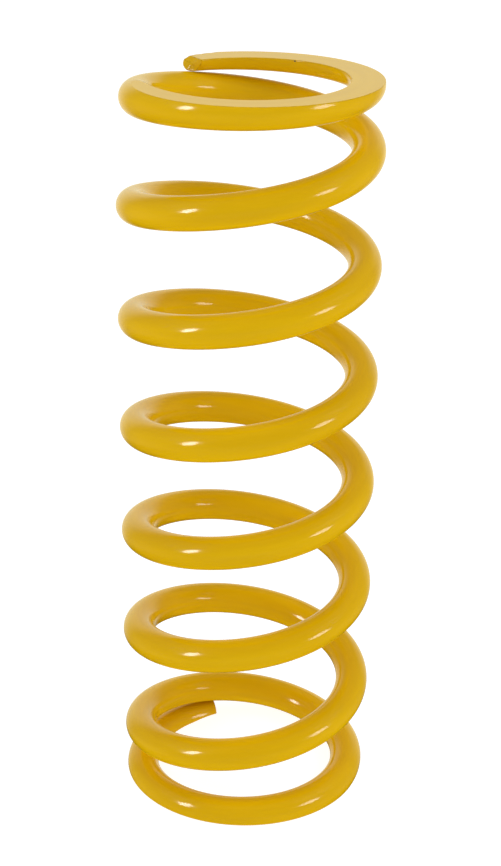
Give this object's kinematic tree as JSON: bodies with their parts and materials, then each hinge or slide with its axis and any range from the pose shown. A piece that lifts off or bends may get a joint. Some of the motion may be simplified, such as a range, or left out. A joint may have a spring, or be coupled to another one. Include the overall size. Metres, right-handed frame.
{
  "type": "coil spring",
  "caption": "Helical compression spring of a rear shock absorber, round powder-coated wire, both ends closed and ground flat.",
  "frame": {"origin": "on the coil's axis, in the plane of the lower ground face", "axes": "+Z along the coil's axis from the lower seat to the upper seat; +X and +Y are plan directions, with the lower wire tip 110 degrees counter-clockwise from +X"},
  "size_m": [0.0864, 0.0864, 0.25],
  "materials": {
    "powder_coat": "gloss powder coat over steel spring wire"
  },
  "bodies": {
    "lower_end": {"lower_end_left": "powder_coat", "lower_end_front": "powder_coat", "lower_end_right": "powder_coat", "lower_end_back": "powder_coat", "coil_2_left": "powder_coat"},
    "coil_2_front": {"coil_2_front": "powder_coat"},
    "coil_2_right": {"coil_2_right": "powder_coat"},
    "coil_2_back": {"coil_2_back": "powder_coat"},
    "coil_3_left": {"coil_3_left": "powder_coat"},
    "coil_3_front": {"coil_3_front": "powder_coat"},
    "coil_3_right": {"coil_3_right": "powder_coat"},
    "coil_3_back": {"coil_3_back": "powder_coat"},
    "coil_4_left": {"coil_4_left": "powder_coat"},
    "coil_4_front": {"coil_4_front": "powder_coat"},
    "coil_4_right": {"coil_4_right": "powder_coat"},
    "coil_4_back": {"coil_4_back": "powder_coat"},
    "coil_5_left": {"coil_5_left": "powder_coat"},
    "coil_5_front": {"coil_5_front": "powder_coat"},
    "coil_5_right": {"coil_5_right": "powder_coat"},
    "coil_5_back": {"coil_5_back": "powder_coat"},
    "coil_6_left": {"coil_6_left": "powder_coat"},
    "coil_6_front": {"coil_6_front": "powder_coat"},
    "coil_6_right": {"coil_6_right": "powder_coat"},
    "coil_6_back": {"coil_6_back": "powder_coat"},
    "coil_7_left": {"coil_7_left": "powder_coat"},
    "coil_7_front": {"coil_7_front": "powder_coat"},
    "coil_7_right": {"coil_7_right": "powder_coat"},
    "upper_end": {"coil_7_back": "powder_coat", "upper_end_left": "powder_coat", "upper_end_front": "powder_coat", "upper_end_right": "powder_coat", "upper_end_back": "powder_coat"}
  },
  "joints": [
    {"name": "compression", "type": "slide", "parent": "lower_end", "child": "upper_end", "axis": [0, 0, -1], "range_m": [0, 0.145], "stiffness_N_per_m": 55000},
    {"name": "coil_2_front_sink", "type": "slide", "parent": "lower_end", "child": "coil_2_front", "axis": [0, 0, -1], "range_m": [0, 0.0063]},
    {"name": "coil_2_right_sink", "type": "slide", "parent": "lower_end", "child": "coil_2_right", "axis": [0, 0, -1], "range_m": [0, 0.01261]},
    {"name": "coil_2_back_sink", "type": "slide", "parent": "lower_end", "child": "coil_2_back", "axis": [0, 0, -1], "range_m": [0, 0.01891]},
    {"name": "coil_3_left_sink", "type": "slide", "parent": "lower_end", "child": "coil_3_left", "axis": [0, 0, -1], "range_m": [0, 0.02522]},
    {"name": "coil_3_front_sink", "type": "slide", "parent": "lower_end", "child": "coil_3_front", "axis": [0, 0, -1], "range_m": [0, 0.03152]},
    {"name": "coil_3_right_sink", "type": "slide", "parent": "lower_end", "child": "coil_3_right", "axis": [0, 0, -1], "range_m": [0, 0.03783]},
    {"name": "coil_3_back_sink", "type": "slide", "parent": "lower_end", "child": "coil_3_back", "axis": [0, 0, -1], "range_m": [0, 0.04413]},
    {"name": "coil_4_left_sink", "type": "slide", "parent": "lower_end", "child": "coil_4_left", "axis": [0, 0, -1], "range_m": [0, 0.05044]},
    {"name": "coil_4_front_sink", "type": "slide", "parent": "lower_end", "child": "coil_4_front", "axis": [0, 0, -1], "range_m": [0, 0.05674]},
    {"name": "coil_4_right_sink", "type": "slide", "parent": "lower_end", "child": "coil_4_right", "axis": [0, 0, -1], "range_m": [0, 0.06304]},
    {"name": "coil_4_back_sink", "type": "slide", "parent": "lower_end", "child": "coil_4_back", "axis": [0, 0, -1], "range_m": [0, 0.06935]},
    {"name": "coil_5_left_sink", "type": "slide", "parent": "lower_end", "child": "coil_5_left", "axis": [0, 0, -1], "range_m": [0, 0.07565]},
    {"name": "coil_5_front_sink", "type": "slide", "parent": "lower_end", "child": "coil_5_front", "axis": [0, 0, -1], "range_m": [0, 0.08196]},
    {"name": "coil_5_right_sink", "type": "slide", "parent": "lower_end", "child": "coil_5_right", "axis": [0, 0, -1], "range_m": [0, 0.08826]},
    {"name": "coil_5_back_sink", "type": "slide", "parent": "lower_end", "child": "coil_5_back", "axis": [0, 0, -1], "range_m": [0, 0.09457]},
    {"name": "coil_6_left_sink", "type": "slide", "parent": "lower_end", "child": "coil_6_left", "axis": [0, 0, -1], "range_m": [0, 0.10087]},
    {"name": "coil_6_front_sink", "type": "slide", "parent": "lower_end", "child": "coil_6_front", "axis": [0, 0, -1], "range_m": [0, 0.10717]},
    {"name": "coil_6_right_sink", "type": "slide", "parent": "lower_end", "child": "coil_6_right", "axis": [0, 0, -1], "range_m": [0, 0.11348]},
    {"name": "coil_6_back_sink", "type": "slide", "parent": "lower_end", "child": "coil_6_back", "axis": [0, 0, -1], "range_m": [0, 0.11978]},
    {"name": "coil_7_left_sink", "type": "slide", "parent": "lower_end", "child": "coil_7_left", "axis": [0, 0, -1], "range_m": [0, 0.12609]},
    {"name": "coil_7_front_sink", "type": "slide", "parent": "lower_end", "child": "coil_7_front", "axis": [0, 0, -1], "range_m": [0, 0.13239]},
    {"name": "coil_7_right_sink", "type": "slide", "parent": "lower_end", "child": "coil_7_right", "axis": [0, 0, -1], "range_m": [0, 0.1387]}
  ],
  "couplings": [
    {"joint": "coil_2_front_sink", "follows": "compression", "ratio": 0.043478},
    {"joint": "coil_2_right_sink", "follows": "compression", "ratio": 0.086957},
    {"joint": "coil_2_back_sink", "follows": "compression", "ratio": 0.13043},
    {"joint": "coil_3_left_sink", "follows": "compression", "ratio": 0.17391},
    {"joint": "coil_3_front_sink", "follows": "compression", "ratio": 0.21739},
    {"joint": "coil_3_right_sink", "follows": "compression", "ratio": 0.26087},
    {"joint": "coil_3_back_sink", "follows": "compression", "ratio": 0.30435},
    {"joint": "coil_4_left_sink", "follows": "compression", "ratio": 0.34783},
    {"joint": "coil_4_front_sink", "follows": "compression", "ratio": 0.3913},
    {"joint": "coil_4_right_sink", "follows": "compression", "ratio": 0.43478},
    {"joint": "coil_4_back_sink", "follows": "compression", "ratio": 0.47826},
    {"joint": "coil_5_left_sink", "follows": "compression", "ratio": 0.52174},
    {"joint": "coil_5_front_sink", "follows": "compression", "ratio": 0.56522},
    {"joint": "coil_5_right_sink", "follows": "compression", "ratio": 0.6087},
    {"joint": "coil_5_back_sink", "follows": "compression", "ratio": 0.65217},
    {"joint": "coil_6_left_sink", "follows": "compression", "ratio": 0.69565},
    {"joint": "coil_6_front_sink", "follows": "compression", "ratio": 0.73913},
    {"joint": "coil_6_right_sink", "follows": "compression", "ratio": 0.78261},
    {"joint": "coil_6_back_sink", "follows": "compression", "ratio": 0.82609},
    {"joint": "coil_7_left_sink", "follows": "compression", "ratio": 0.86957},
    {"joint": "coil_7_front_sink", "follows": "compression", "ratio": 0.91304},
    {"joint": "coil_7_right_sink", "follows": "compression", "ratio": 0.95652}
  ]
}
